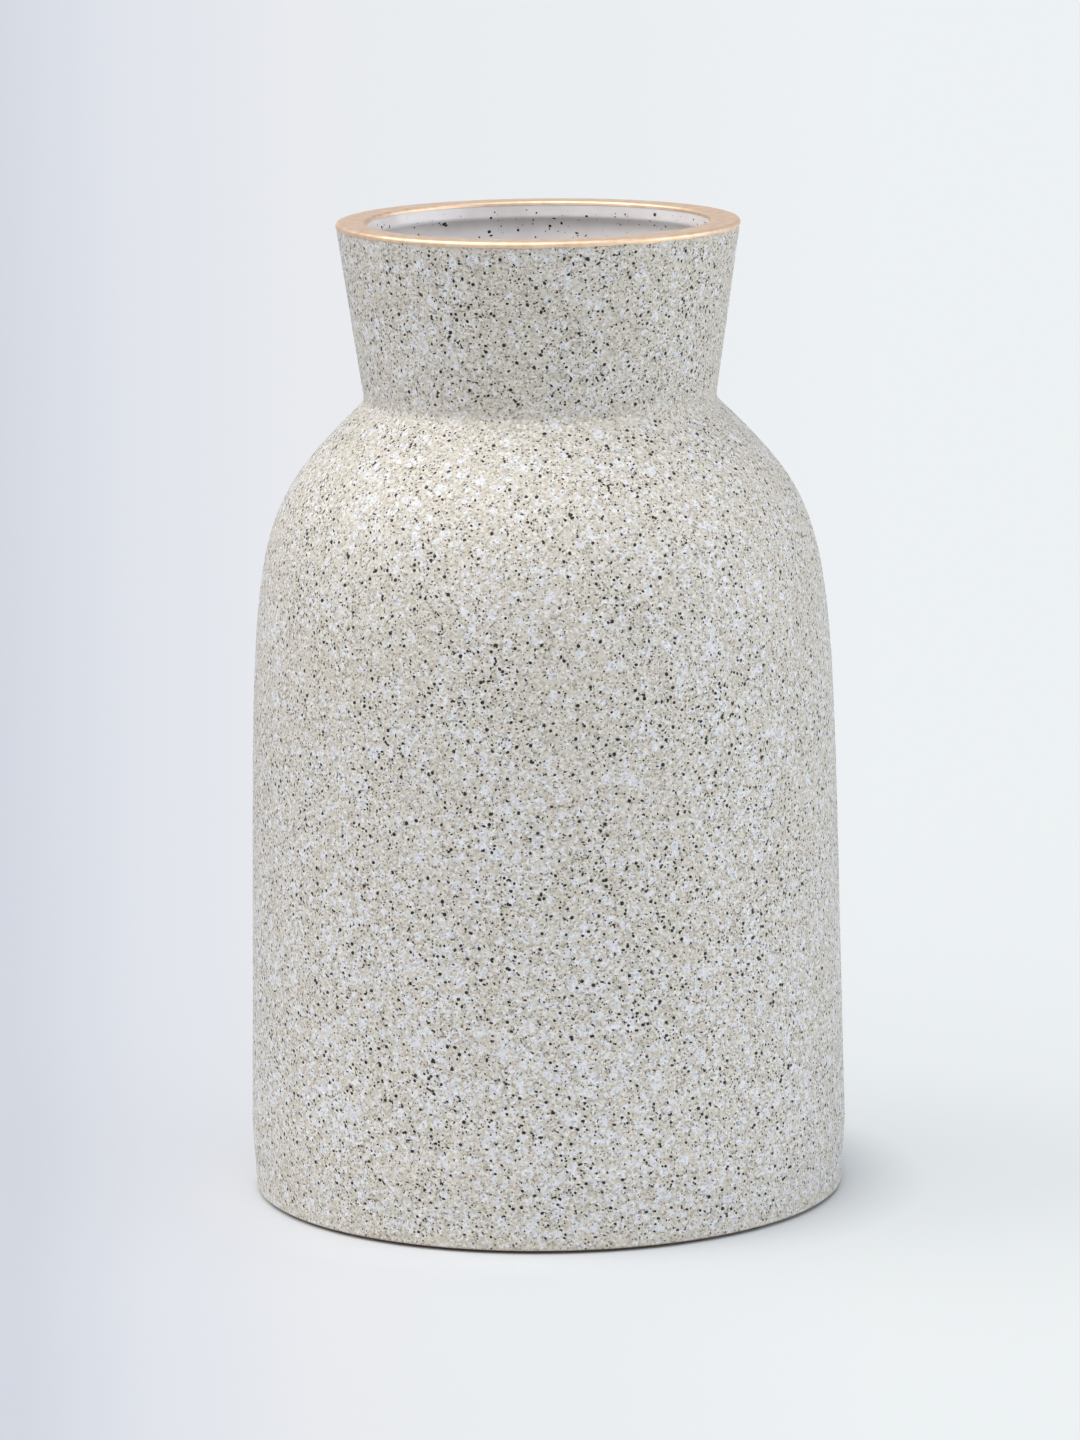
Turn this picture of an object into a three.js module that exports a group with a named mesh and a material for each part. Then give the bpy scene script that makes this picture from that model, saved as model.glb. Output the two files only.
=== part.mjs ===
// A gilt-lipped stoneware vase: a straight-sided jar with a domed shoulder and a flared collar.
// Millimetres, +Z up, the origin on the table at the centre of the foot.
//
// Every ceramic piece is turned, so each is a lathe of a closed (radius, height) outline. The outlines
// all come from one line: the finished surface, walked from the foot up the outside, over the lip and
// down the inside to the middle of the floor. Glaze, gold and clay are layers measured in from it.
import * as THREE from "three";

// Overall size
const HEIGHT = 250;
const FOOT_RADIUS = 75.9;
const BODY_RADIUS = 76.7; // the widest place, at WIDEST_HEIGHT
const WIDEST_HEIGHT = 20;
const WALL_LEAN = THREE.MathUtils.degToRad(1.3); // the wall leans in as it rises
const CREASE_RADIUS = 44.8; // where shoulder and collar would meet with no fillet
const CREASE_HEIGHT = 204.4;
const SHOULDER_SLOPE = THREE.MathUtils.degToRad(44.7); // above level, at the crease
const COLLAR_FLARE = THREE.MathUtils.degToRad(8.2); // out from upright

// How far the outline keeps close to its straight ends
const FOOT_HANDLE = 6;
const WALL_HANDLE = 154;
const SHOULDER_HANDLE = 45;

// Layers, measured in from the finished surface
const WALL = 7.6;
const GLAZE = 0.6;
const GOLD = 0.3;
const HAIR = 0.02; // clearance between one curved layer and the next

// Rounded edges, and the slip that joins one clay piece to the next
const FOOT_ARRIS = 0.8;
const CREASE_FILLET = 3;
const LIP_ARRIS = 0.9;
const MOUTH_ARRIS = 0.7;
const FLOOR_CORNER = 9;
const FLOOR_SEAM = 0.6;
const CREASE_SEAM = THREE.MathUtils.degToRad(5); // a wedge of the crease fillet
const SEAM_CLEAR = 0.04; // of that wedge, left clear on each side of the slip

// How far the gold runs down each side of the lip
const OUTER_SKIRT = 0.4;
const INNER_SKIRT = 0.4;

// Inside the mouth a rounded bead hangs over a shallow groove
const BEAD_HEIGHT = 3;
const BEAD_ROUNDING = 1.3;
const GROOVE_CUT = THREE.MathUtils.degToRad(52); // how far the outline turns under the bead
const GROOVE_REACH = 24; // from the mouth's arris to where the groove has run out
const GROOVE_HANDLES = [4.5, 11];

// Underside
const FOOT_RING_INNER = 62;
const FOOT_RING_BEVEL = 2;
const RECESS_DEPTH = 2.5;
const PAD_THICKNESS = 0.8;
const PAD_RADIUS = 5.5;
const PAD_CIRCLE = 68.5;
const PAD_COUNT = 4;
const PAD_SIDES = 32;

const TURN_SIDES = 40;

// ---- Lines of the outline ----

// Headings are angles in the outline's plane, anticlockwise from straight out.
const OUT = 0;
const UP = Math.PI / 2;
const IN = Math.PI;

const at = (radius, height) => new THREE.Vector2(radius, height);

const ahead = (point, heading, distance) =>
  at(point.x + distance * Math.cos(heading), point.y + distance * Math.sin(heading));

const endOf = (curve) => curve.getPoint(1);

const line = (start, heading, length) => new THREE.LineCurve(start, ahead(start, heading, length));

// An arc that leaves its start along one heading and arrives along another.
function arc(start, radius, from, to) {
  const side = Math.sign(to - from) * UP; // a left turn has its centre on the left
  const centre = ahead(start, from + side, radius);
  return new THREE.EllipseCurve(centre.x, centre.y, radius, radius, from - side, to - side, side < 0);
}

// A smooth bend between two points, each with its heading and the length of its handle.
function bend(start, from, startHandle, finish, to, finishHandle) {
  const leave = ahead(start, from, startHandle);
  const arrive = ahead(finish, to, -finishHandle);
  return new THREE.CubicBezierCurve(start, leave, arrive, finish);
}

// A station is a point of the finished surface with the unit normal that leaves the wall there.
function stationOn(curve, t) {
  const tangent = curve.getTangent(t);
  return { point: curve.getPoint(t), normal: at(tangent.y, -tangent.x) };
}

// The stations of several curves that follow on smoothly, each with its number of steps.
function stationsAlong(...runs) {
  const stations = [stationOn(runs[0][0], 0)];
  for (const [curve, steps] of runs) {
    for (let i = 1; i <= steps; i++) stations.push(stationOn(curve, i / steps));
  }
  return stations;
}

// The station straight through the wall, on its other face.
const facing = ({ point, normal }) => ({
  point: point.clone().addScaledVector(normal, -WALL),
  normal: normal.clone().negate(),
});

// Outline points at one depth below the finished surface.
const sunk = (stations, depth) =>
  stations.map(({ point, normal }) => point.clone().addScaledVector(normal, -depth));

// ---- The finished surface ----

const shoulderHeading = IN - SHOULDER_SLOPE;
const wallHeading = UP + WALL_LEAN;
const collarHeading = UP - COLLAR_FLARE;

// The foot's rounded edge, easing out to the widest place.
const base = PAD_THICKNESS;
const widest = at(BODY_RADIUS, WIDEST_HEIGHT);
const footArris = arc(at(FOOT_RADIUS - FOOT_ARRIS, base), FOOT_ARRIS, OUT, UP);
const footEase = bend(endOf(footArris), UP, FOOT_HANDLE, widest, wallHeading, FOOT_HANDLE);
const foot = stationsAlong([footArris, 2], [footEase, 2]);

// The wall and shoulder, up to the seam in the middle of the crease.
const creaseTurn = shoulderHeading - collarHeading;
const creaseStart = ahead(
  at(CREASE_RADIUS, CREASE_HEIGHT), shoulderHeading, -CREASE_FILLET * Math.tan(creaseTurn / 2),
);
const seamStart = (shoulderHeading + collarHeading + CREASE_SEAM) / 2;
const seamEnd = seamStart - CREASE_SEAM;
const shoulder = bend(
  widest, wallHeading, WALL_HANDLE, creaseStart, shoulderHeading, SHOULDER_HANDLE,
);
const shoulderFillet = arc(creaseStart, CREASE_FILLET, shoulderHeading, seamStart);
const body = stationsAlong([shoulder, 14], [shoulderFillet, 2]);

// The collar, up to where the gold starts.
const seamFillet = arc(endOf(shoulderFillet), CREASE_FILLET, seamStart, seamEnd);
const collarFillet = arc(endOf(seamFillet), CREASE_FILLET, seamEnd, collarHeading);
const lipArrisStart = HEIGHT - LIP_ARRIS * (1 + Math.sin(COLLAR_FLARE));
const collarLength = (lipArrisStart - endOf(collarFillet).y) / Math.cos(COLLAR_FLARE);
const collarLine = line(endOf(collarFillet), collarHeading, collarLength - OUTER_SKIRT);
const collar = stationsAlong([collarFillet, 2], [collarLine, 2]);

// The gilded lip: a skirt, the outer arris, the level top, the mouth's arris and a skirt inside.
// The mouth lies one wall thickness in from the collar, which fixes where the level top ends.
const outerSkirt = line(endOf(collarLine), collarHeading, OUTER_SKIRT);
const lipArris = arc(endOf(outerSkirt), LIP_ARRIS, collarHeading, IN);
const throughLip = ahead(endOf(outerSkirt), collarHeading + UP, WALL);
const mouthArrisEnd = HEIGHT - MOUTH_ARRIS * (1 - Math.sin(COLLAR_FLARE));
const mouthEdge = ahead(
  throughLip, collarHeading, (mouthArrisEnd - throughLip.y) / Math.cos(COLLAR_FLARE),
);
const levelEnd = at(mouthEdge.x + MOUTH_ARRIS * Math.cos(COLLAR_FLARE), HEIGHT);
const lipTop = new THREE.LineCurve(endOf(lipArris), levelEnd);
const mouthArris = arc(levelEnd, MOUTH_ARRIS, IN, collarHeading + IN);
const innerSkirt = line(endOf(mouthArris), collarHeading + IN, INNER_SKIRT);
const lip = stationsAlong(
  [outerSkirt, 1], [lipArris, 3], [lipTop, 1], [mouthArris, 2], [innerSkirt, 1],
);

// The bead and groove, down the inside from the gold's lower edge.
const down = collarHeading + IN;
const bead = line(endOf(innerSkirt), down, BEAD_HEIGHT - INNER_SKIRT);
const beadEdge = arc(endOf(bead), BEAD_ROUNDING, down, down + GROOVE_CUT);
const grooveEnd = ahead(endOf(mouthArris), down, GROOVE_REACH);
const groove = bend(
  endOf(beadEdge), down + GROOVE_CUT, GROOVE_HANDLES[0], grooveEnd, down, GROOVE_HANDLES[1],
);
const mouth = stationsAlong([bead, 1], [beadEdge, 3], [groove, 6]);

// Below it the collar and wall face their outsides, and a rounded corner leads on to the floor.
const collarInside = collar.slice(0, -1).reverse().map(facing);
const bodyInside = body.toReversed().map(facing);
const cornerStart = bodyInside.at(-1);
const floorArc = arc(cornerStart.point, FLOOR_CORNER, wallHeading + IN, IN);
const corner = [cornerStart, ...stationsAlong([floorArc, 4]).slice(1)];
const floorCentre = { point: at(0, endOf(floorArc).y), normal: at(0, 1) };

const outside = [...foot, ...body.slice(1), ...collar];
const inside = [...mouth, ...collarInside, ...bodyInside, ...corner.slice(1), floorCentre];

// The clay under the floor's glaze, and the faces where the wall stands round the slab.
const clayFloor = floorCentre.point.y - GLAZE;
const wallFace = sunk([cornerStart], GLAZE)[0].x;
const slabEdge = wallFace - FLOOR_SEAM;

// ---- Materials ----

const matter = (color, roughness, metalness) =>
  new THREE.MeshStandardMaterial({ color, roughness, metalness });

const stoneware = () => matter(0xb39a7c, 0.95, 0);
const slip = () => matter(0xa38c70, 0.95, 0);
const speckledGlaze = () => matter(0xc6bdae, 0.55, 0);
const whiteGlaze = () => matter(0xd9dad6, 0.15, 0);
const goldLustre = () => matter(0xc9a36a, 0.3, 1);
const felt = () => matter(0x2e2c2a, 1, 0);

// ---- Pieces ----

// Turns an outline about the axis. It runs anticlockwise, so up the outside and down the inside, and
// starts and ends on the axis or closes on itself.
function turned(name, outline, material) {
  const profile = outline[0].x === 0 ? outline : [...outline, outline[0]];
  const mesh = new THREE.Mesh(new THREE.LatheGeometry(profile, TURN_SIDES), material);
  mesh.geometry.rotateX(Math.PI / 2);
  mesh.name = name;
  return mesh;
}

// The disc the vase stands on, hollowed a little underneath to leave a ring that bears.
function floorSlab() {
  const recess = base + RECESS_DEPTH;
  const outline = [
    at(0, recess),
    at(FOOT_RING_INNER - FOOT_RING_BEVEL, recess),
    at(FOOT_RING_INNER, base),
    at(slabEdge, base),
    at(slabEdge, clayFloor),
    at(0, clayFloor),
  ];
  return turned("floor_slab", outline, stoneware());
}

// The slip between slab and wall, with the coil pressed into the corner above it.
function floorSlipJoint() {
  const outline = [
    at(slabEdge, base),
    at(wallFace, base),
    ...sunk(corner, GLAZE),
    at(slabEdge, clayFloor),
  ];
  return turned("floor_slip_joint", outline, slip());
}

// The thrown wall, closing into the shoulder.
function bodyWall() {
  const outline = [
    at(wallFace, base),
    at(FOOT_RADIUS - FOOT_ARRIS, base),
    ...sunk([...foot, ...body.slice(1), ...bodyInside], GLAZE),
  ];
  return turned("body_wall", outline, stoneware());
}

// The wedge of slip that holds the collar on the shoulder.
function neckSlipJoint() {
  const [under, over] = [SEAM_CLEAR, 1 - SEAM_CLEAR].map((t) => stationOn(seamFillet, t));
  const outline = sunk([under, over, facing(over), facing(under)], GLAZE);
  return turned("neck_slip_joint", outline, slip());
}

// The collar, thrown apart from the body, with its flat lip and the bead inside.
function neckCollar() {
  const outline = sunk([...collar, ...lip.slice(1), ...mouth.slice(1), ...collarInside], GLAZE);
  return turned("neck_collar", outline, stoneware());
}

// The speckled coat, from the foot's edge up the outside and on across the lip under the gold.
function outerGlaze() {
  const outline = [
    ...sunk(outside, 0),
    ...sunk(lip, GOLD),
    ...sunk([...outside, ...lip.slice(1)].reverse(), GLAZE - HAIR),
  ];
  return turned("outer_glaze", outline, speckledGlaze());
}

// The glossy liner, from the gold's lower edge in the mouth down to the floor.
function innerGlaze() {
  const outline = [...sunk(inside.toReversed(), GLAZE - HAIR), ...sunk(inside, 0)];
  return turned("inner_glaze", outline, whiteGlaze());
}

// The gold over the lip.
function rimGilding() {
  const outline = [...sunk(lip, 0), ...sunk(lip.toReversed(), GOLD - HAIR)];
  return turned("rim_gilding", outline, goldLustre());
}

// One of the felt discs under the foot ring.
function footPad(index) {
  const pad = new THREE.CylinderGeometry(PAD_RADIUS, PAD_RADIUS, PAD_THICKNESS, PAD_SIDES);
  const mesh = new THREE.Mesh(pad.rotateX(Math.PI / 2), felt());
  const angle = ((index + 0.5) * 2 * Math.PI) / PAD_COUNT;
  mesh.position.set(PAD_CIRCLE * Math.cos(angle), PAD_CIRCLE * Math.sin(angle), PAD_THICKNESS / 2);
  mesh.name = `foot_pad_${index + 1}`;
  return mesh;
}

const clayBody = new THREE.Group();
clayBody.add(floorSlab(), floorSlipJoint(), bodyWall(), neckSlipJoint(), neckCollar());

const coats = new THREE.Group();
coats.add(outerGlaze(), innerGlaze(), rimGilding());

const pads = new THREE.Group();
for (let i = 0; i < PAD_COUNT; i++) pads.add(footPad(i));

const vase = new THREE.Group();
vase.add(clayBody, coats, pads);

export default vase;
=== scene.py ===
from math import cos, hypot, pi, radians, sin, tan

import bpy
from mathutils import Matrix, Vector, noise


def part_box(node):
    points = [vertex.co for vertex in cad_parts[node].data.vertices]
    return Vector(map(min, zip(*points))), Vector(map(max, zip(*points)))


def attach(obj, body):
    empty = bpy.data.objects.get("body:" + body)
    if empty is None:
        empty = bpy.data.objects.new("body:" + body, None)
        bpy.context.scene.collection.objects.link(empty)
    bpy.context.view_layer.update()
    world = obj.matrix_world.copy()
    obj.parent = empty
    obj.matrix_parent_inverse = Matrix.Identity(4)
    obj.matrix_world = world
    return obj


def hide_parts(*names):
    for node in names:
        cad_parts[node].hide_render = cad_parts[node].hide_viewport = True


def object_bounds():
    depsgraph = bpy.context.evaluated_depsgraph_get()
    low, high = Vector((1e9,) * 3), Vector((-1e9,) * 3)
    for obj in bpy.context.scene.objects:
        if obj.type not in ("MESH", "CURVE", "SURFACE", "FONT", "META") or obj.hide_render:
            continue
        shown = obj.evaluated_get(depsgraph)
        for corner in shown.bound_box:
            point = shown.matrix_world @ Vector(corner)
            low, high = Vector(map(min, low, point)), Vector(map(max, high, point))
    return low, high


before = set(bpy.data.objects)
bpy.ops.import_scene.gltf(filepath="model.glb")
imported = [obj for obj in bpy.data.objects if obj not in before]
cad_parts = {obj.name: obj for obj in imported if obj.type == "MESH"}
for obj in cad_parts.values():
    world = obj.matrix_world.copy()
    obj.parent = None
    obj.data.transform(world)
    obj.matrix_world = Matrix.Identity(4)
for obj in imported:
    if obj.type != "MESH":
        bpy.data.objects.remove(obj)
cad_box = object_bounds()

# Camera: a long lens 1.7 m in front of the vase and a little above its lip, looking ten degrees down,
# with the slight tilt of a tripod levelled by hand.
MM = 0.001
CAMERA_SIDE, CAMERA_DISTANCE, CAMERA_HEIGHT = -1 * MM, 1728 * MM, 439.4 * MM
CAMERA_PITCH, CAMERA_ROLL = radians(10.43), radians(-0.69)

scene = bpy.context.scene
lens = bpy.data.cameras.new("camera")
lens.sensor_width = 36
lens.lens = 171.4
lens.clip_end = 50
camera = bpy.data.objects.new("camera", lens)
camera.matrix_world = (
    Matrix.Translation((CAMERA_SIDE, -CAMERA_DISTANCE, CAMERA_HEIGHT))
    @ Matrix.Rotation(pi / 2 - CAMERA_PITCH, 4, "X")
    @ Matrix.Rotation(CAMERA_ROLL, 4, "Z")
)
scene.collection.objects.link(camera)
scene.camera = camera
scene.view_settings.view_transform = "Standard"


# Studio: a sheet of white paper under the vase, in a pale room with three wide soft lights. The two
# upper lights lean to the left, so the shadow falls to the right, where a low light keeps it faint.
def linear(hex_colour):
    """A colour written as sRGB hex, as the linear RGBA that a socket takes."""
    parts = [int(hex_colour[i:i + 2], 16) / 255 for i in (1, 3, 5)]
    return [c / 12.92 if c <= 0.04045 else ((c + 0.055) / 1.055) ** 2.4 for c in parts] + [1]


def add(tree, kind, inputs=None, stops=(), **settings):
    """Adds a node with its settings, its ramp's stops, and its inputs linked or set.

    An input is named by its place, its name, or its identifier where names repeat. A node given as an
    input is linked by its first output in use.
    """
    made = tree.nodes.new(kind)
    for name, value in settings.items():
        setattr(made, name, value)
    for name, value in (inputs or {}).items():
        named = [s for s in made.inputs if s.enabled and name in (s.identifier, s.name)]
        socket = named[0] if named else made.inputs[name]
        if isinstance(value, bpy.types.Node):
            value = next(s for s in value.outputs if s.enabled)
        if isinstance(value, bpy.types.NodeSocket):
            tree.links.new(value, socket)
        else:
            socket.default_value = value
    for i, (place, colour) in enumerate(stops):
        if i == len(made.color_ramp.elements):
            made.color_ramp.elements.new(1)
        made.color_ramp.elements[i].position = place
        made.color_ramp.elements[i].color = linear(colour)
    return made


def soft_light(name, toward, strength, spread, colour):
    """A wide far-off light, as even on the paper as on the vase. toward points at it from the vase."""
    data = bpy.data.lights.new(name, "SUN")
    data.energy = strength
    data.angle = radians(spread)
    data.color = linear(colour)[:3]
    lamp = bpy.data.objects.new(name, data)
    lamp.rotation_euler = Vector(toward).to_track_quat("Z", "Y").to_euler()
    scene.collection.objects.link(lamp)


soft_light("overhead_light", toward=(-0.35, -0.3, 1), strength=2.85, spread=90, colour="#fffbf5")
soft_light("left_light", toward=(-0.6, 0.0, 0.7), strength=0.9, spread=40, colour="#fffbf5")
soft_light("right_light", toward=(1, -0.15, 0.1), strength=2.0, spread=60, colour="#f8faff")

# The room is brighter where the gold and the glaze mirror it than it is as a light.
world = bpy.data.worlds.new("pale_room")
world.use_nodes = True
world.node_tree.nodes.clear()
mirrored = add(world.node_tree, "ShaderNodeLightPath").outputs["Is Glossy Ray"]
brightness = add(
    world.node_tree, "ShaderNodeMapRange", {"Value": mirrored, "To Min": 0.44, "To Max": 0.64}
)
walls = add(
    world.node_tree, "ShaderNodeBackground",
    {"Color": linear("#dae3f8"), "Strength": brightness},
)
add(world.node_tree, "ShaderNodeOutputWorld", {"Surface": walls})
scene.world = world

# The paper is painted a little greyer and bluer towards the left, as painted shade where the light
# falls off across it. Away from the foot it also glows for the camera, so it stays even there, and
# near the foot it keeps the vase's shadow.
PAPER_FRONT, PAPER_BACK, PAPER_HALF_WIDTH = -3, 12, 8
PAINTED_SHADE_LEFT, PAINTED_SHADE_RIGHT = -0.08, 0.05
GLOW_FROM, GLOW_TO, GLOW_STRENGTH = 74 * MM, 114 * MM, 1.29
paper_mesh = bpy.data.meshes.new("paper")
paper_corners = [
    (x, y, 0) for y in (PAPER_FRONT, PAPER_BACK) for x in (-PAPER_HALF_WIDTH, PAPER_HALF_WIDTH)
]
paper_mesh.from_pydata(paper_corners, [], [(0, 1, 3, 2)])
paper = bpy.data.objects.new("paper", paper_mesh)
scene.collection.objects.link(paper)
white_paper = bpy.data.materials.new("white_paper")
white_paper.use_nodes = True
white_paper.node_tree.nodes.clear()
paper_tree = white_paper.node_tree
on_paper = add(paper_tree, "ShaderNodeTexCoord").outputs["Object"]
across = add(paper_tree, "ShaderNodeSeparateXYZ", {"Vector": on_paper})
away = add(
    paper_tree, "ShaderNodeMath", {0: across.outputs["Y"], 1: CAMERA_DISTANCE}, operation="ADD"
)
sideways = add(
    paper_tree, "ShaderNodeMath", {0: across.outputs["X"], 1: away}, operation="DIVIDE"
)
tone = add(
    paper_tree, "ShaderNodeMapRange",
    {"Value": sideways, "From Min": PAINTED_SHADE_LEFT, "From Max": PAINTED_SHADE_RIGHT},
)
# Painted shade: the paper's colour darkens and turns bluer towards the left, where the light falls off.
paper_shade_tint = add(
    paper_tree, "ShaderNodeValToRGB", {"Fac": tone},
    stops=((0, "#babec6"), (0.15, "#c5c8ce"), (0.35, "#ccced1"), (1, "#d0d4d5")),
)
matt = add(paper_tree, "ShaderNodeBsdfDiffuse", {"Color": paper_shade_tint})
glow = add(paper_tree, "ShaderNodeEmission", {"Color": paper_shade_tint, "Strength": GLOW_STRENGTH})
seen = add(paper_tree, "ShaderNodeLightPath").outputs["Is Camera Ray"]
from_axis = add(paper_tree, "ShaderNodeVectorMath", {"Vector": on_paper}, operation="LENGTH")
beyond_foot = add(
    paper_tree, "ShaderNodeMapRange",
    {"Value": from_axis, "From Min": GLOW_FROM, "From Max": GLOW_TO},
)
open_paper = add(
    paper_tree, "ShaderNodeValToRGB", {"Fac": beyond_foot},
    stops=((0, "#000000"), (0.15, "#666666"), (0.6, "#d6d6d6")),
)
glowing = add(paper_tree, "ShaderNodeMath", {0: seen, 1: open_paper}, operation="MULTIPLY")
lit_paper = add(paper_tree, "ShaderNodeMixShader", {0: glowing, 1: matt, 2: glow})
add(paper_tree, "ShaderNodeOutputMaterial", {"Surface": lit_paper})
paper_mesh.materials.append(white_paper)


# The finished surface of the pot is one line, from the foot up the outside, over the lip and down the
# inside to the middle of the floor. Each clay section and each coat is a layer under this line, as on
# the CAD model, with the overall sizes read from the frame.
HEIGHT = cad_box[1].z
BODY_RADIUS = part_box("outer_glaze")[1].x
FOOT_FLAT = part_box("foot_pad_1")[1].z
FOOT_TUCK, WIDEST_HEIGHT = 0.8 * MM, 20 * MM
FOOT_RADIUS = BODY_RADIUS - FOOT_TUCK
WALL_LEAN = radians(1.3)
CREASE_RADIUS, CREASE_HEIGHT = 44.8 * MM, 204.4 * MM
SHOULDER_SLOPE = radians(44.7)
COLLAR_FLARE = radians(8.2)
FOOT_HANDLE, WALL_HANDLE, SHOULDER_HANDLE = 6 * MM, 154 * MM, 45 * MM
FOOT_ARRIS, CREASE_FILLET, LIP_ARRIS, MOUTH_ARRIS = 0.8 * MM, 3 * MM, 0.9 * MM, 0.7 * MM
BEAD_HEIGHT, BEAD_ROUNDING = 3 * MM, 1.3 * MM
GROOVE_CUT, GROOVE_REACH = radians(52), 24 * MM
GROOVE_TOP_HANDLE, GROOVE_LOW_HANDLE = 4.5 * MM, 11 * MM
FLOOR_CORNER = 9 * MM
WALL, GLAZE, HAIR = 7.6 * MM, 0.6 * MM, 0.02 * MM
SEAM_WEDGE = radians(5)
OUT, UP, IN = 0, pi / 2, pi


def ahead(point, heading, distance):
    """The place this far from a point along a heading; a place is a radius and a height."""
    return point[0] + distance * cos(heading), point[1] + distance * sin(heading)


def arc(start, radius, leaving, arriving, steps):
    """Points of an arc that leaves start along one heading and arrives along another."""
    side = UP if arriving > leaving else -UP
    centre = ahead(start, leaving + side, radius)
    turns = [leaving - side + (arriving - leaving) * i / steps for i in range(steps + 1)]
    return [ahead(centre, turn, radius) for turn in turns]


def bend(start, leaving, leave_by, finish, arriving, arrive_by, steps):
    """Points of a smooth bend between two points, each with its heading and handle."""
    hold = [start, ahead(start, leaving, leave_by), ahead(finish, arriving, -arrive_by), finish]
    points = []
    for t in (i / steps for i in range(steps + 1)):
        pull = [(1 - t) ** 3, 3 * t * (1 - t) ** 2, 3 * t * t * (1 - t), t ** 3]
        points.append(tuple(sum(w * p[k] for w, p in zip(pull, hold)) for k in (0, 1)))
    return points


def straight(start, heading, length, steps):
    """Points along a straight run."""
    return [ahead(start, heading, length * i / steps) for i in range(steps + 1)]


def joined(*runs):
    """One line through runs that follow on, with no point twice."""
    return list(runs[0]) + [point for run in runs[1:] for point in run[1:]]


def sunk(line, depth):
    """The line moved into the wall, which lies on its left."""
    moved = []
    for i, (r, z) in enumerate(line):
        before, after = line[max(i - 1, 0)], line[min(i + 1, len(line) - 1)]
        dr, dz = after[0] - before[0], after[1] - before[1]
        length = hypot(dr, dz)
        moved.append((r - depth * dz / length, z + depth * dr / length))
    return moved


shoulder_heading = IN - SHOULDER_SLOPE
wall_heading = UP + WALL_LEAN
collar_heading = UP - COLLAR_FLARE
foot_arris = arc((FOOT_RADIUS - FOOT_ARRIS, FOOT_FLAT), FOOT_ARRIS, OUT, UP, steps=6)
widest = (BODY_RADIUS, WIDEST_HEIGHT)
foot_ease = bend(foot_arris[-1], UP, FOOT_HANDLE, widest, wall_heading, FOOT_HANDLE, steps=8)
foot_line = joined(foot_arris, foot_ease)
crease_start = ahead(
    (CREASE_RADIUS, CREASE_HEIGHT), shoulder_heading,
    -CREASE_FILLET * tan((shoulder_heading - collar_heading) / 2),
)
shoulder_line = bend(
    widest, wall_heading, WALL_HANDLE, crease_start, shoulder_heading, SHOULDER_HANDLE, steps=96
)
seam_low = (shoulder_heading + collar_heading + SEAM_WEDGE) / 2
seam_high = seam_low - SEAM_WEDGE
shoulder_fillet = arc(crease_start, CREASE_FILLET, shoulder_heading, seam_low, steps=6)
seam_line = arc(shoulder_fillet[-1], CREASE_FILLET, seam_low, seam_high, steps=2)
collar_fillet = arc(seam_line[-1], CREASE_FILLET, seam_high, collar_heading, steps=6)
lip_start_height = HEIGHT - LIP_ARRIS * (1 + sin(COLLAR_FLARE))
collar_length = (lip_start_height - collar_fillet[-1][1]) / cos(COLLAR_FLARE)
lip_start = ahead(collar_fillet[-1], collar_heading, collar_length)
lip_arris = arc(lip_start, LIP_ARRIS, collar_heading, IN, steps=10)
through_lip = ahead(lip_start, collar_heading + UP, WALL)
mouth_height = HEIGHT - MOUTH_ARRIS * (1 - sin(COLLAR_FLARE))
mouth_edge = ahead(
    through_lip, collar_heading, (mouth_height - through_lip[1]) / cos(COLLAR_FLARE)
)
lip_flat_end = (mouth_edge[0] + MOUTH_ARRIS * cos(COLLAR_FLARE), HEIGHT)
lip_flat = straight(lip_arris[-1], IN, lip_arris[-1][0] - lip_flat_end[0], steps=8)
mouth_arris = arc(lip_flat_end, MOUTH_ARRIS, IN, collar_heading + IN, steps=8)
collar_line = straight(collar_fillet[-1], collar_heading, collar_length, steps=30)
lip_line = joined(lip_arris, lip_flat, mouth_arris)
mouth_heading = collar_heading + IN
bead = straight(mouth_arris[-1], mouth_heading, BEAD_HEIGHT, steps=6)
bead_edge = arc(bead[-1], BEAD_ROUNDING, mouth_heading, mouth_heading + GROOVE_CUT, steps=8)
groove_end = ahead(mouth_arris[-1], mouth_heading, GROOVE_REACH)
groove = bend(
    bead_edge[-1], mouth_heading + GROOVE_CUT, GROOVE_TOP_HANDLE,
    groove_end, mouth_heading, GROOVE_LOW_HANDLE, steps=24,
)
mouth_line = joined(bead, bead_edge, groove)
body_line = joined(shoulder_line, shoulder_fillet)
upper_line = joined(collar_fillet, collar_line)
inside_wall = [
    point for point in reversed(sunk(joined(body_line, seam_line, upper_line), WALL))
    if point[1] < groove_end[1] - HAIR
]
floor_arc = arc(inside_wall[-1], FLOOR_CORNER, wall_heading + IN, IN, steps=12)
floor_middle = (0, floor_arc[-1][1])


# Floor: a disc of buff stoneware, trimmed underneath on the wheel so that it is hollow inside a ring
# that bears. The clay there is bare, with the faint circles of the trimming tool.
SIDES = 192


def turned(name, line, moved=None, closed=True, centre=(0, 0), sides=SIDES):
    """A piece turned from a line that has the clay on its left, so it runs up the outside.

    A closed line starts and ends on the axis or joins up with itself. moved shifts each point a little.
    """
    verts, rings = [], []
    for r, z in line:
        count = 1 if r == 0 else sides
        rings.append([len(verts) + k % count for k in range(sides)])
        for turn in (2 * pi * k / sides for k in range(count)):
            point = Vector((centre[0] + r * cos(turn), centre[1] + r * sin(turn), z))
            verts.append(moved(point) if moved else point)
    if closed and line[0][0] > 0:
        rings.append(rings[0])
    faces = []
    for low, high in zip(rings, rings[1:]):
        for k in range(sides):
            corners = [low[k - 1], low[k], high[k], high[k - 1]]
            faces.append([c for i, c in enumerate(corners) if c != corners[i - 1]])
    mesh = bpy.data.meshes.new(name)
    mesh.from_pydata(verts, [], faces)
    mesh.shade_smooth()
    mesh.set_sharp_from_angle(angle=radians(35))
    piece = bpy.data.objects.new(name, mesh)
    scene.collection.objects.link(piece)
    return piece


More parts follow.
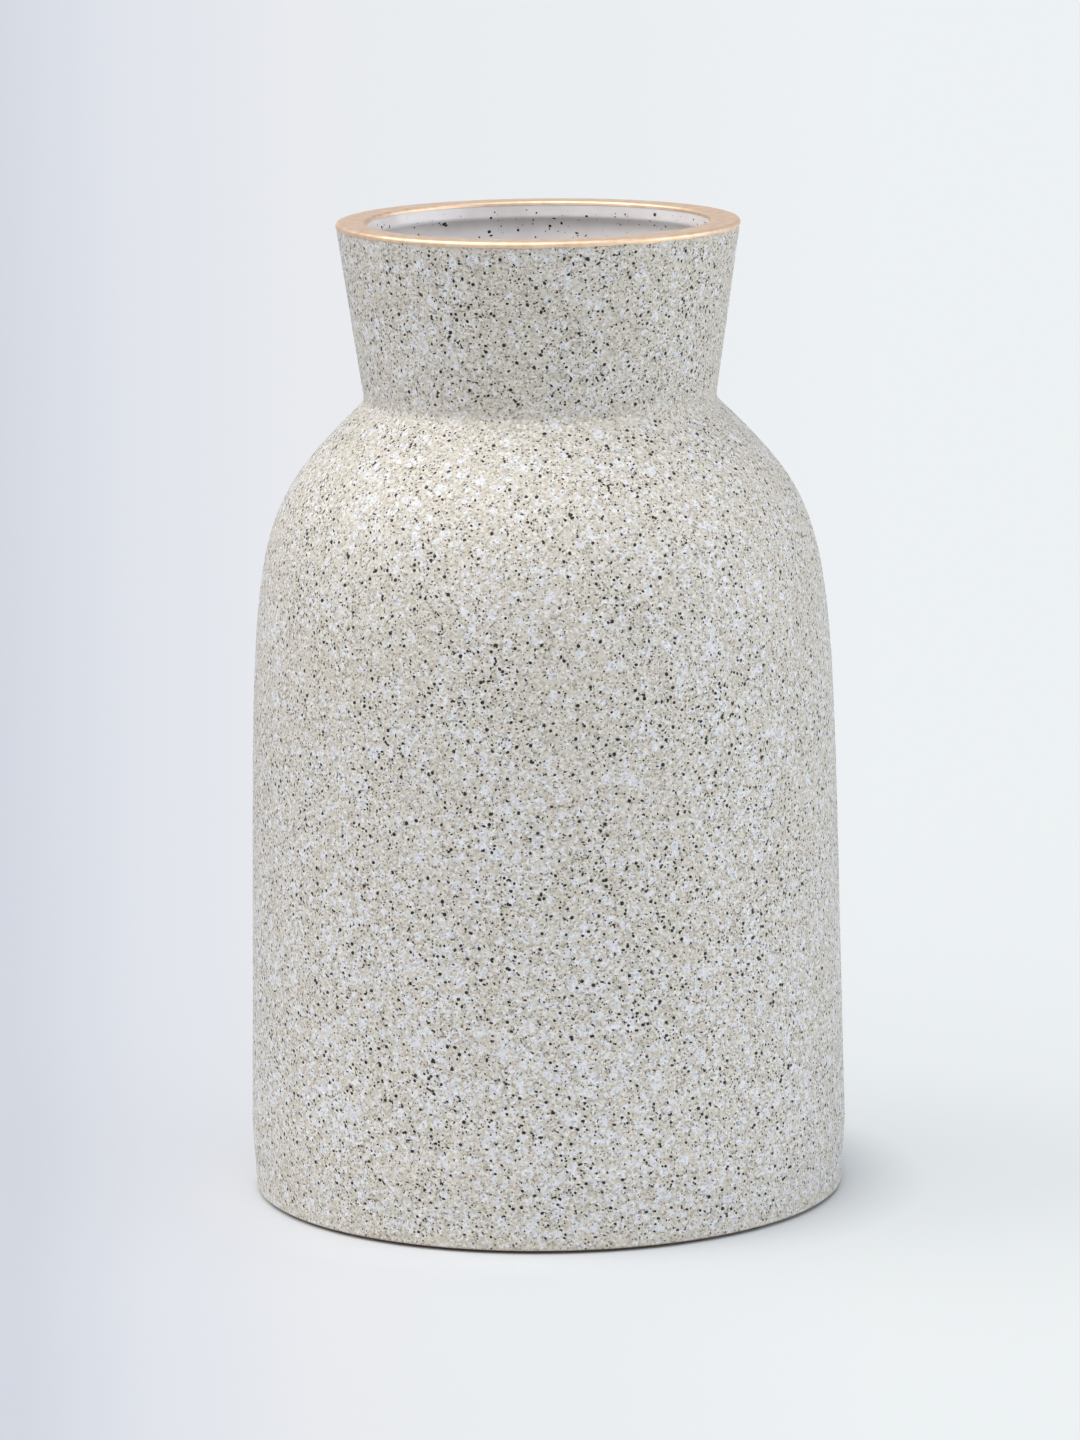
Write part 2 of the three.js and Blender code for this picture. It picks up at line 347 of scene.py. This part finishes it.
def dress(piece, material, slot, *nodes):
    """Gives a finished piece its material, hangs it under the root and hides the CAD nodes it
    stands for. slot is not used.
    """
    piece.data.materials.append(material)
    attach(piece, "root")
    if nodes:
        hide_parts(*nodes)


def principled(name):
    """A new material: its tree, its shader, and the piece's own coordinates in millimetres."""
    made = bpy.data.materials.new(name)
    made.use_nodes = True
    tree = made.node_tree
    tree.nodes.clear()
    shader = add(tree, "ShaderNodeBsdfPrincipled")
    add(tree, "ShaderNodeOutputMaterial", {"Surface": shader})
    spot = add(tree, "ShaderNodeTexCoord").outputs["Object"]
    where = add(tree, "ShaderNodeVectorMath", {"Vector": spot, "Scale": 1 / MM}, operation="SCALE")
    return made, tree, shader, where


def finish(tree, shader, colour, roughness, height=None, depth=0):
    """Puts a colour, a roughness and a relief of this many millimetres on the shader."""
    tree.links.new(next(s for s in colour.outputs if s.enabled), shader.inputs["Base Color"])
    tree.links.new(next(s for s in roughness.outputs if s.enabled), shader.inputs["Roughness"])
    if height:
        bump = add(tree, "ShaderNodeBump", {"Height": height, "Distance": depth * MM})
        tree.links.new(bump.outputs["Normal"], shader.inputs["Normal"])


def turning_marks(tree, where, pitch):
    """Noise in circles about the axis, with a ring every so many millimetres."""
    parts = add(tree, "ShaderNodeSeparateXYZ", {"Vector": where})
    flat = add(
        tree, "ShaderNodeCombineXYZ", {"X": parts.outputs["X"], "Y": parts.outputs["Y"]}
    )
    radius = add(tree, "ShaderNodeVectorMath", {"Vector": flat}, operation="LENGTH")
    ring = add(tree, "ShaderNodeCombineXYZ", {"X": radius, "Y": parts.outputs["Z"]})
    return add(tree, "ShaderNodeTexNoise", {"Vector": ring, "Scale": 1 / pitch, "Detail": 3})


def bare_clay(name, light, middle, dark):
    """Unglazed fired stoneware: dry and rough all over, buff, gritty with grog a millimetre across."""
    grog_size, cloud_size, ring_pitch = 0.9, 18, 1.1
    made, tree, shader, where = principled(name)
    shader.inputs["IOR"].default_value = 1.5
    grog = add(
        tree, "ShaderNodeTexNoise",
        {"Vector": where, "Scale": 1 / grog_size, "Detail": 4, "Roughness": 0.65},
    )
    cloud = add(
        tree, "ShaderNodeTexNoise", {"Vector": where, "Scale": 1 / cloud_size, "Detail": 3}
    )
    marks = turning_marks(tree, where, ring_pitch)
    body = add(
        tree, "ShaderNodeValToRGB", {"Fac": grog},
        stops=((0.3, dark), (0.52, middle), (0.72, light)),
    )
    paler = add(tree, "ShaderNodeMapRange", {"Value": cloud, "From Min": 0.4, "From Max": 0.8})
    clouded = add(
        tree, "ShaderNodeMix", {"Factor_Float": paler, "A_Color": body, "B_Color": linear(light)},
        data_type="RGBA",
    )
    shade = add(
        tree, "ShaderNodeMapRange", {"Value": marks, "From Min": 0.5, "From Max": 0.9}
    )
    ringed = add(
        tree, "ShaderNodeMix", {"Factor_Float": shade, "A_Color": clouded, "B_Color": linear(dark)},
        data_type="RGBA",
    )
    dryness = add(tree, "ShaderNodeMapRange", {"Value": grog, "To Min": 0.75, "To Max": 1})
    height = add(tree, "ShaderNodeMath", {0: grog, 1: marks}, operation="ADD")
    finish(tree, shader, ringed, dryness, height, depth=0.2)
    return made


stoneware = bare_clay("buff_stoneware", "#c9b292", "#b39a7c", "#8f7859")
RECESS_DEPTH, RING_INNER, RING_BEVEL, RING_EASE = 2.5 * MM, 62 * MM, 2 * MM, 0.4 * MM
slab_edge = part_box("floor_slab")[1].x
clay_corner = sunk(floor_arc, GLAZE)
clay_floor = floor_arc[-1][1] - GLAZE
recess = FOOT_FLAT + RECESS_DEPTH
slab_line = [
    (0, recess),
    *straight((RING_INNER / 3, recess), OUT, RING_INNER * 2 / 3 - RING_BEVEL, steps=6),
    (RING_INNER - RING_EASE, FOOT_FLAT + RING_EASE),
    (RING_INNER, FOOT_FLAT),
    (slab_edge, FOOT_FLAT),
    (slab_edge, clay_floor),
    (0, clay_floor),
]
dress(turned("floor_disc", slab_line), stoneware, "stoneware", "floor_slab")

# Wall: thrown from one ball of the same buff stoneware and closed in to the shoulder. It stands round
# the floor disc, and only the underside of its foot is bare.
wall_face = clay_corner[0][0]
wall_outline = [
    (wall_face, FOOT_FLAT),
    (foot_line[0][0], FOOT_FLAT),
    *sunk(joined(foot_line, body_line), GLAZE),
    *reversed(sunk(body_line, WALL - GLAZE)),
]
dress(turned("thrown_wall", wall_outline), stoneware, "stoneware", "body_wall")

# Floor joint: slip between the disc and the wall, and a coil of it pressed into the inside corner. Slip
# is the same clay with more water, so it fires a little darker.
fired_slip = bare_clay("fired_slip", "#b8a180", "#a38c70", "#806a4e")
floor_joint_line = [
    (slab_edge, FOOT_FLAT),
    (wall_face, FOOT_FLAT),
    *clay_corner,
    (slab_edge, clay_floor),
]
dress(turned("floor_coil", floor_joint_line), fired_slip, "slip", "floor_slip_joint")

# Neck joint: a thin wedge of the same slip, brushed on wet where the collar was set on the shoulder.
# The coat and the liner hide both of its edges.
neck_joint_line = sunk(seam_line, GLAZE) + sunk(seam_line, WALL - GLAZE)[::-1]
dress(turned("neck_slip", neck_joint_line), fired_slip, "slip", "neck_slip_joint")

# Collar: buff stoneware thrown apart from the wall, with its lip cut level, and a bead and a groove
# pressed just inside the mouth. The coat, the liner and the gold cover all of it.
clay_outside = sunk(joined(upper_line, lip_line, mouth_line), GLAZE)
clay_inside = [
    point for point in reversed(sunk(upper_line, WALL - GLAZE)) if point[1] < groove_end[1] - HAIR
]
dress(turned("thrown_collar", clay_outside + clay_inside), stoneware, "stoneware", "neck_collar")

# Outside coat: a satin oatmeal glaze, poured over the vase after the first firing. It is gritty with
# half-melted sand, flecked with white, and dotted where iron in the clay came through it.
COAT_EASE = 0.1 * MM
THROWN_RIPPLE, RIPPLE_PITCH = 0.05 * MM, 11 * MM


def hand_thrown(point):
    """Draws a point in towards the axis by up to a tenth of a millimetre, as fingers leave it."""
    where = Vector((point.x, point.y, 3 * point.z)) / (3 * RIPPLE_PITCH)
    inward = THROWN_RIPPLE * (1 + noise.noise(where))
    flat = Vector((point.x, point.y, 0))
    return point - inward * flat.normalized()


def spots(tree, where, pitch, share, least, most, shift, edge):
    """A mask of round spots, all sizes in millimetres, with the edge of each softened.

    There is a place for one about every pitch, a share of them are filled, and a spot's radius lies
    between least and most. It is solid as far as edge, a share of the radius. shift takes the whole
    mask to another part of the pattern.
    """
    moved = add(tree, "ShaderNodeVectorMath", {0: where, 1: [shift] * 3}, operation="ADD")
    cells = add(tree, "ShaderNodeTexVoronoi", {"Vector": moved, "Scale": 1 / pitch})
    chance = add(tree, "ShaderNodeSeparateColor", {"Color": cells.outputs["Color"]})
    radius = add(
        tree, "ShaderNodeMapRange",
        {"Value": chance.outputs["Green"], "To Min": least / pitch, "To Max": most / pitch},
    )
    inner = add(tree, "ShaderNodeMath", {0: radius, 1: edge}, operation="MULTIPLY")
    round_spot = add(
        tree, "ShaderNodeMapRange",
        {"Value": cells.outputs["Distance"], "From Min": radius, "From Max": inner},
        interpolation_type="SMOOTHSTEP",
    )
    filled = add(
        tree, "ShaderNodeMath", {0: chance.outputs["Red"], 1: share}, operation="LESS_THAN"
    )
    return add(tree, "ShaderNodeMath", {0: round_spot, 1: filled}, operation="MULTIPLY")


def over(tree, under, mask, colour):
    """The colour laid over another where the mask is white."""
    return add(
        tree, "ShaderNodeMix", {"Factor_Float": mask, "A_Color": under, "B_Color": linear(colour)},
        data_type="RGBA",
    )


def roughened(tree, where, pitch, amount):
    """The place moved about by up to this many millimetres either way, for a ragged pattern."""
    grain = add(tree, "ShaderNodeTexNoise", {"Vector": where, "Scale": 1 / pitch, "Detail": 2})
    return add(
        tree, "ShaderNodeVectorMath", {0: grain.outputs["Color"], 1: [2 * amount] * 3, 2: where},
        operation="MULTIPLY_ADD",
    )


def sand_grains(tree, where):
    """Half-melted sand in the glaze, with a tone of its own for each grain.

    Real grains are about a fifth of a millimetre across; these are coarser, so that they show.
    """
    grain = 0.5
    grains = add(tree, "ShaderNodeTexVoronoi", {"Vector": where, "Scale": 1 / grain})
    return add(tree, "ShaderNodeSeparateColor", {"Color": grains.outputs["Color"]}).outputs["Red"]


def oatmeal_ground(tree, sand):
    """The tan of the glaze, from its darkest grains to its palest."""
    return add(
        tree, "ShaderNodeValToRGB", {"Fac": sand},
        stops=(
            (0, "#878073"), (0.15, "#b1aa9c"), (0.5, "#c4beb0"), (0.85, "#cfcac0"), (1, "#dedbd5"),
        ),
    )


def white_crystals(tree, sand):
    """The cool white of the flecks, over the same grains."""
    return add(
        tree, "ShaderNodeValToRGB", {"Fac": sand},
        stops=(
            (0, "#a3a3a5"), (0.15, "#c4c5c7"), (0.5, "#d1d2d4"), (0.85, "#d9dadc"), (1, "#e3e4e6"),
        ),
    )


def oatmeal_glaze():
    """Satin glaze full of sand: fine grain for the eye, small pale flecks and pinhead iron dots.

    The grain keeps the surface from shining in one sheet. The pale flecks crowd in clouds, and more of
    them low down, where the poured glaze gathered.
    """
    cloud_size, high_up, low_down = 22, 240, 30
    made, tree, shader, where = principled("oatmeal_glaze")
    shader.inputs["IOR"].default_value = 1.5
    sand = sand_grains(tree, where)
    cloud = add(
        tree, "ShaderNodeTexNoise", {"Vector": where, "Scale": 1 / cloud_size, "Detail": 3}
    )
    ragged = roughened(tree, where, pitch=0.7, amount=0.9)
    pale = spots(tree, ragged, pitch=1.5, share=0.7, least=0.3, most=0.9, shift=0, edge=0.85)
    height = add(tree, "ShaderNodeSeparateXYZ", {"Vector": where}).outputs["Z"]
    lower = add(
        tree, "ShaderNodeMapRange",
        {
            "Value": height, "From Min": high_up, "From Max": low_down,
            "To Min": -0.13, "To Max": 0.11,
        },
    )
    poured = add(tree, "ShaderNodeMath", {0: cloud, 1: lower}, operation="ADD")
    thick = add(
        tree, "ShaderNodeMapRange", {"Value": poured, "From Min": 0.3, "From Max": 0.55}
    )
    pale = add(tree, "ShaderNodeMath", {0: pale, 1: thick}, operation="MULTIPLY")
    iron = spots(tree, where, pitch=0.9, share=0.3, least=0.14, most=0.34, shift=40, edge=0.85)
    flecked = add(
        tree, "ShaderNodeMix",
        {
            "Factor_Float": pale, "A_Color": oatmeal_ground(tree, sand),
            "B_Color": white_crystals(tree, sand),
        },
        data_type="RGBA",
    )
    colour = over(tree, flecked, iron, "#4a4541")
    satin = add(tree, "ShaderNodeMapRange", {"Value": sand, "To Min": 0.5, "To Max": 0.75})
    finish(tree, shader, colour, satin, sand, depth=0.04)
    return made


GOLD_SKIRT = 0.4 * MM
inner_skirt = straight(mouth_arris[-1], mouth_heading, GOLD_SKIRT, steps=3)
outside = joined(foot_line, body_line, seam_line, upper_line, lip_line, inner_skirt)
coat_face = sunk(outside, COAT_EASE)
coat_outline = coat_face + sunk(outside, GLAZE - HAIR)[::-1]
coat = turned("oatmeal_coat", coat_outline, moved=hand_thrown)
dress(coat, oatmeal_glaze(), "speckled_glaze", "outer_glaze")


# Flecks: crystals of white glaze that stand a hair proud of the coat, and iron specks that burned
# through it. Each is a thin chip with a ragged outline, laid on the coat and bent to it.
CHIP_RAGGED_PITCH, CHIP_BEDDING = 0.9 * MM, 0.01 * MM


def chip_tree():
    """Scatters chips over a sheet, thicker in some places than others.

    A chip starts as a shallow cone. It is turned and stretched by chance, its outline is torn by noise,
    and it is laid on the sheet with its rim bedded in and its middle proud.
    """
    tree = bpy.data.node_groups.new("scattered_chips", "GeometryNodeTree")
    for label, kind in (
        ("Sheet", "Geometry"), ("From height", "Float"), ("To height", "Float"),
        ("Per square metre", "Float"), ("Patch size", "Float"), ("Thinnest", "Float"),
        ("Least radius", "Float"), ("Most radius", "Float"), ("Skew", "Float"),
        ("Raggedness", "Float"), ("Thickness", "Float"), ("Corners", "Int"), ("Seed", "Int"),
        ("Material", "Material"),
    ):
        tree.interface.new_socket(label, in_out="INPUT", socket_type="NodeSocket" + kind)
    tree.interface.new_socket("Chips", in_out="OUTPUT", socket_type="NodeSocketGeometry")
    given = add(tree, "NodeGroupInput").outputs
    place = add(tree, "GeometryNodeInputPosition")

    height = add(tree, "ShaderNodeSeparateXYZ", {"Vector": place}).outputs["Z"]
    above = add(
        tree, "FunctionNodeCompare", {"A": height, "B": given["From height"]},
        operation="GREATER_THAN",
    )
    below = add(
        tree, "FunctionNodeCompare", {"A": height, "B": given["To height"]}, operation="LESS_THAN"
    )
    between = add(tree, "FunctionNodeBooleanMath", {0: above, 1: below}, operation="AND")
    fineness = add(tree, "ShaderNodeMath", {0: 1.0, 1: given["Patch size"]}, operation="DIVIDE")
    cloud = add(
        tree, "ShaderNodeTexNoise", {"Vector": place, "Scale": fineness, "Detail": 2}
    )
    crowd = add(
        tree, "ShaderNodeMapRange",
        {"Value": cloud, "From Min": 0.35, "From Max": 0.65, "To Min": given["Thinnest"]},
    )
    many = add(
        tree, "ShaderNodeMath", {0: crowd, 1: given["Per square metre"]}, operation="MULTIPLY"
    )
    points = add(
        tree, "GeometryNodeDistributePointsOnFaces",
        {"Mesh": given["Sheet"], "Selection": between, "Density": many, "Seed": given["Seed"]},
    )

    cone = add(
        tree, "GeometryNodeMeshCone",
        {"Vertices": given["Corners"], "Radius Top": 0, "Radius Bottom": 1, "Depth": 1},
    )
    cone_height = add(tree, "ShaderNodeSeparateXYZ", {"Vector": place}).outputs["Z"]
    chip = add(
        tree, "GeometryNodeStoreNamedAttribute",
        {"Geometry": cone.outputs["Mesh"], "Name": "rise", "Value": cone_height},
    )
    luck = add(tree, "FunctionNodeRandomValue", {"Seed": given["Seed"]})
    luck = add(tree, "ShaderNodeMath", {0: luck, 1: given["Skew"]}, operation="POWER")
    radius = add(
        tree, "ShaderNodeMapRange",
        {"Value": luck, "To Min": given["Least radius"], "To Max": given["Most radius"]},
    )
    stretch = add(tree, "FunctionNodeRandomValue", {"Min_001": 0.4, "Max_001": 1.0, "Seed": 7})
    narrow = add(tree, "ShaderNodeMath", {0: radius, 1: stretch}, operation="MULTIPLY")
    size = add(tree, "ShaderNodeCombineXYZ", {"X": radius, "Y": narrow, "Z": MM})
    yaw = add(tree, "FunctionNodeRandomValue", {"Max_001": 2 * pi, "Seed": 11})
    turn = add(tree, "FunctionNodeAxisAngleToRotation", {"Angle": yaw})
    facing = add(
        tree, "FunctionNodeRotateRotation",
        {"Rotation": points.outputs["Rotation"], "Rotate By": turn}, rotation_space="LOCAL",
    )
    laid = add(
        tree, "GeometryNodeInstanceOnPoints",
        {"Points": points, "Instance": chip, "Rotation": facing, "Scale": size},
    )
    real = add(tree, "GeometryNodeRealizeInstances", {"Geometry": laid})

    ragged = add(tree, "ShaderNodeTexNoise", {"Vector": place, "Scale": 1 / CHIP_RAGGED_PITCH})
    centred = add(
        tree, "ShaderNodeVectorMath", {0: ragged.outputs["Color"], 1: [0.5] * 3},
        operation="SUBTRACT",
    )
    shove = add(
        tree, "ShaderNodeVectorMath", {"Vector": centred, "Scale": given["Raggedness"]},
        operation="SCALE",
    )
    torn = add(tree, "GeometryNodeSetPosition", {"Geometry": real, "Offset": shove})
    nearest = add(tree, "GeometryNodeProximity", {"Target": given["Sheet"]})
    normal = add(tree, "GeometryNodeInputNormal")
    outward = add(
        tree, "GeometryNodeSampleNearestSurface", {"Mesh": given["Sheet"], "Value": normal},
        data_type="FLOAT_VECTOR",
    )
    rise = add(tree, "GeometryNodeInputNamedAttribute", {"Name": "rise"})
    lift = add(
        tree, "ShaderNodeMath", {0: rise, 1: given["Thickness"], 2: -CHIP_BEDDING},
        operation="MULTIPLY_ADD",
    )
    lifted = add(
        tree, "ShaderNodeVectorMath", {"Vector": outward, "Scale": lift}, operation="SCALE"
    )
    settled = add(
        tree, "ShaderNodeVectorMath", {0: nearest.outputs["Position"], 1: lifted}, operation="ADD"
    )
    bent = add(tree, "GeometryNodeSetPosition", {"Geometry": torn, "Position": settled})
    clean = add(tree, "GeometryNodeRemoveAttribute", {"Geometry": bent, "Name": "rise"})
    painted = add(
        tree, "GeometryNodeSetMaterial", {"Geometry": clean, "Material": given["Material"]}
    )
    add(tree, "NodeGroupOutput", {"Chips": painted})
    return tree


chips = chip_tree()


def scatter(name, line, slot, material, **sizes):
    """Chips scattered over the sheet turned from a line, as a plain mesh."""
    piece = turned(name, line, moved=hand_thrown, closed=False)
    work = piece.modifiers.new("chips", "NODES")
    work.node_group = chips
    wanted = {"Material": material}
    wanted.update({label.replace("_", " ").capitalize(): value for label, value in sizes.items()})
    for socket in chips.interface.items_tree:
        if socket.in_out == "INPUT" and socket.name in wanted:
            work[socket.identifier] = wanted[socket.name]
    ready = piece.evaluated_get(bpy.context.evaluated_depsgraph_get())
    made = bpy.data.meshes.new_from_object(ready)
    piece.modifiers.clear()
    piece.data = made
    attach(piece, "root")


def fleck_glaze():
    """A white fleck: crystals a little glossier than the coat, that melt into its tan in patches."""
    melt_size = 1.3
    made, tree, shader, where = principled("white_fleck")
    shader.inputs["IOR"].default_value = 1.5
    sand = sand_grains(tree, where)
    melt = add(
        tree, "ShaderNodeTexNoise", {"Vector": where, "Scale": 1 / melt_size, "Detail": 3}
    )
    white = add(tree, "ShaderNodeMapRange", {"Value": melt, "From Min": 0.38, "From Max": 0.48})
    colour = add(
        tree, "ShaderNodeMix",
        {
            "Factor_Float": white, "A_Color": oatmeal_ground(tree, sand),
            "B_Color": white_crystals(tree, sand),
        },
        data_type="RGBA",
    )
    shine = add(tree, "ShaderNodeMapRange", {"Value": sand, "To Min": 0.4, "To Max": 0.65})
    finish(tree, shader, colour, shine, sand, depth=0.04)
    return made


def iron_glaze():
    """An iron speck: near black, with a rusty or slaty cast here and there, dull like cinder."""
    cast_size = 2
    made, tree, shader, where = principled("iron_speck")
    shader.inputs["IOR"].default_value = 1.45
    cast = add(
        tree, "ShaderNodeTexNoise", {"Vector": where, "Scale": 1 / cast_size, "Detail": 2}
    )
    colour = add(
        tree, "ShaderNodeValToRGB", {"Fac": cast},
        stops=((0.35, "#1a1c1c"), (0.5, "#121111"), (0.65, "#2a2420")),
    )
    shine = add(tree, "ShaderNodeMapRange", {"Value": cast, "To Min": 0.45, "To Max": 0.7})
    finish(tree, shader, colour, shine, cast, depth=0.03)
    return made


white_fleck = fleck_glaze()
iron_speck = iron_glaze()
coat_sheet = [point for point in coat_face if FOOT_FLAT + 1 * MM < point[1] < lip_line[0][1]]
# Bands of the coat from the foot up: where each starts and ends, and how many white flecks and iron
# specks it has to a square metre where they crowd the most.
FLECK_BANDS = (
    (3 * MM, 75 * MM, 3.5e5, 5.6e5), (75 * MM, 140 * MM, 2.2e5, 5.8e5),
    (140 * MM, 203 * MM, 1.5e5, 4.8e5), (207.5 * MM, 247.8 * MM, 1.3e5, 5.4e5),
)
for number, (low, high, white_crowd, iron_crowd) in enumerate(FLECK_BANDS, start=1):
    scatter(
        f"white_flecks_{number}", coat_sheet, "speckled_glaze", white_fleck,
        from_height=low, to_height=high, per_square_metre=white_crowd, patch_size=25 * MM,
        thinnest=0.25, least_radius=0.45 * MM, most_radius=2.2 * MM, skew=2.4,
        raggedness=2.0 * MM, thickness=0.05 * MM, corners=9, seed=number,
    )
    scatter(
        f"iron_specks_{number}", coat_sheet, "speckled_glaze", iron_speck,
        from_height=low, to_height=high, per_square_metre=iron_crowd, patch_size=16 * MM,
        thinnest=0.4, least_radius=0.19 * MM, most_radius=0.75 * MM, skew=2.8,
        raggedness=0.35 * MM, thickness=0.05 * MM, corners=6, seed=10 + number,
    )

# Liner: a glossy grey-white glaze poured into the vase and out again, with iron specks in it too. It
# starts at the edge of the gold, just inside the mouth, and closes over the middle of the floor.
liner_line = [inner_skirt[-1], *mouth_line[2:], *inside_wall, *floor_arc[1:], floor_middle]


def liner_glaze():
    """Gloss glaze: a smooth glassy face that mirrors the mouth, faintly clouded underneath."""
    cloud_size = 9
    made, tree, shader, where = principled("liner_glaze")
    shader.inputs["IOR"].default_value = 1.52
    cloud = add(
        tree, "ShaderNodeTexNoise", {"Vector": where, "Scale": 1 / cloud_size, "Detail": 4}
    )
    milky = add(
        tree, "ShaderNodeValToRGB", {"Fac": cloud}, stops=((0.35, "#d8d3d0"), (0.65, "#e3e0de"))
    )
    dots = spots(tree, where, pitch=2.6, share=0.25, least=0.12, most=0.32, shift=90, edge=0.7)
    colour = over(tree, milky, dots, "#6d6862")
    gloss = add(tree, "ShaderNodeMapRange", {"Value": cloud, "To Min": 0.08, "To Max": 0.2})
    finish(tree, shader, colour, gloss, cloud, depth=0.08)
    return made


liner_face = sunk(liner_line, COAT_EASE)
liner_outline = sunk(liner_line, GLAZE - HAIR)[::-1] + liner_face
liner_outline[0] = (0, liner_outline[0][1])
liner_outline[-1] = (0, liner_outline[-1][1])
dress(turned("white_liner", liner_outline), liner_glaze(), "white_glaze", "inner_glaze")
scatter(
    "liner_specks", liner_face[2:-1], "white_glaze", iron_speck,
    from_height=15 * MM, to_height=248.5 * MM, per_square_metre=2.6e5, patch_size=14 * MM,
    thinnest=0.3, least_radius=0.14 * MM, most_radius=0.65 * MM, skew=3.6, raggedness=0.3 * MM,
    thickness=0.05 * MM, corners=6, seed=31,
)

# Gold: a film of lustre, brushed over the lip and fired on last. It runs a little way down both sides,
# and a hand held the brush, so both its edges wander.
GOLD_FILM, GOLD_WANDER, WANDER_PITCH = 0.09 * MM, 0.4 * MM, 6 * MM
MIDDLE_OF_LIP = lip_flat[len(lip_flat) // 2][0]
FAR_IN_PATTERN = 50


def brushed(point):
    """Moves the edges of the gold along the collar, by a little more or less all the way round."""
    share = max(0, min(1, (lip_line[0][1] - point.z) / GOLD_SKIRT))
    flat = Vector((point.x, point.y, 0))
    side = 0 if flat.length > MIDDLE_OF_LIP else FAR_IN_PATTERN
    shift = share * GOLD_WANDER * noise.noise(flat / WANDER_PITCH + Vector((0, 0, side)))
    along = flat.normalized() * cos(collar_heading) + Vector((0, 0, sin(collar_heading)))
    return point + shift * along


def gold_lustre():
    """Metal film over glaze: satin, with the streaks of the brush running round the lip.

    The hairs of a brush leave finer streaks than these, which are as coarse as they need to be to show.
    """
    streak_pitch, worn_size = 0.35, 2.5
    made, tree, shader, where = principled("gold_lustre")
    shader.inputs["Metallic"].default_value = 1
    streaks = turning_marks(tree, where, streak_pitch)
    worn = add(
        tree, "ShaderNodeTexNoise", {"Vector": where, "Scale": 1 / worn_size, "Detail": 5}
    )
    tone = add(
        tree, "ShaderNodeValToRGB", {"Fac": worn},
        stops=((0.3, "#dcbd9d"), (0.5, "#e5c9aa"), (0.7, "#ebd2b7")),
    )
    mixed = add(tree, "ShaderNodeMath", {0: streaks, 1: worn}, operation="ADD")
    satin = add(
        tree, "ShaderNodeMapRange", {"Value": mixed, "From Max": 2, "To Min": 0.44, "To Max": 0.62}
    )
    finish(tree, shader, tone, satin, mixed, depth=0.03)
    return made


skirt_start = ahead(lip_line[0], collar_heading, -GOLD_SKIRT)
outer_skirt = straight(skirt_start, collar_heading, GOLD_SKIRT, steps=3)
gold_line = joined(outer_skirt, lip_line, inner_skirt)
gold_outline = gold_line + sunk(gold_line, GOLD_FILM)[::-1]
dress(turned("gold_lip", gold_outline, moved=brushed), gold_lustre(), "gold_lustre", "rim_gilding")

# Feet: four discs of dark wool felt, punched from a thin sheet, so that the clay doesn't scratch a
# table. Each is stuck under the ring, and its edge is rounded by the punch.
FELT_ROUNDING = 0.3 * MM


def wool_felt():
    """Pressed wool: no shine, a fuzzy mat of fibres with paler ones among the dark.

    Wool is far finer than these fibres, which are drawn half a millimetre across so that they show.
    """
    fibre, stretch = 0.5, (3.0, 1.0, 1.0)
    made, tree, shader, where = principled("wool_felt")
    shader.inputs["Sheen Weight"].default_value = 0.4
    shader.inputs["Sheen Roughness"].default_value = 0.6
    stretched = add(tree, "ShaderNodeVectorMath", {0: where, 1: stretch}, operation="MULTIPLY")
    fibres = add(
        tree, "ShaderNodeTexNoise",
        {"Vector": stretched, "Scale": 1 / fibre, "Detail": 4, "Distortion": 1.5},
    )
    mat = add(
        tree, "ShaderNodeValToRGB", {"Fac": fibres},
        stops=((0.35, "#1f1d1c"), (0.55, "#33302e"), (0.75, "#5a5552")),
    )
    dull = add(tree, "ShaderNodeMapRange", {"Value": fibres, "To Min": 0.85, "To Max": 1})
    finish(tree, shader, mat, dull, fibres, depth=0.3)
    return made


felt = wool_felt()
for number in range(1, 5):
    low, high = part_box(f"foot_pad_{number}")
    middle = ((low.x + high.x) / 2, (low.y + high.y) / 2)
    reach = (high.x - low.x) / 2
    underside = straight((reach / 4, 0), OUT, reach / 2, steps=2)
    low_edge = arc((reach - FELT_ROUNDING, 0), FELT_ROUNDING, OUT, UP, steps=4)
    high_edge = arc((reach, high.z - FELT_ROUNDING), FELT_ROUNDING, UP, IN, steps=4)
    pad_line = [(0, 0), *underside, *low_edge, *high_edge, (0, high.z)]
    pad = turned(f"felt_pad_{number}", pad_line, centre=middle, sides=64)
    dress(pad, felt, "felt", f"foot_pad_{number}")
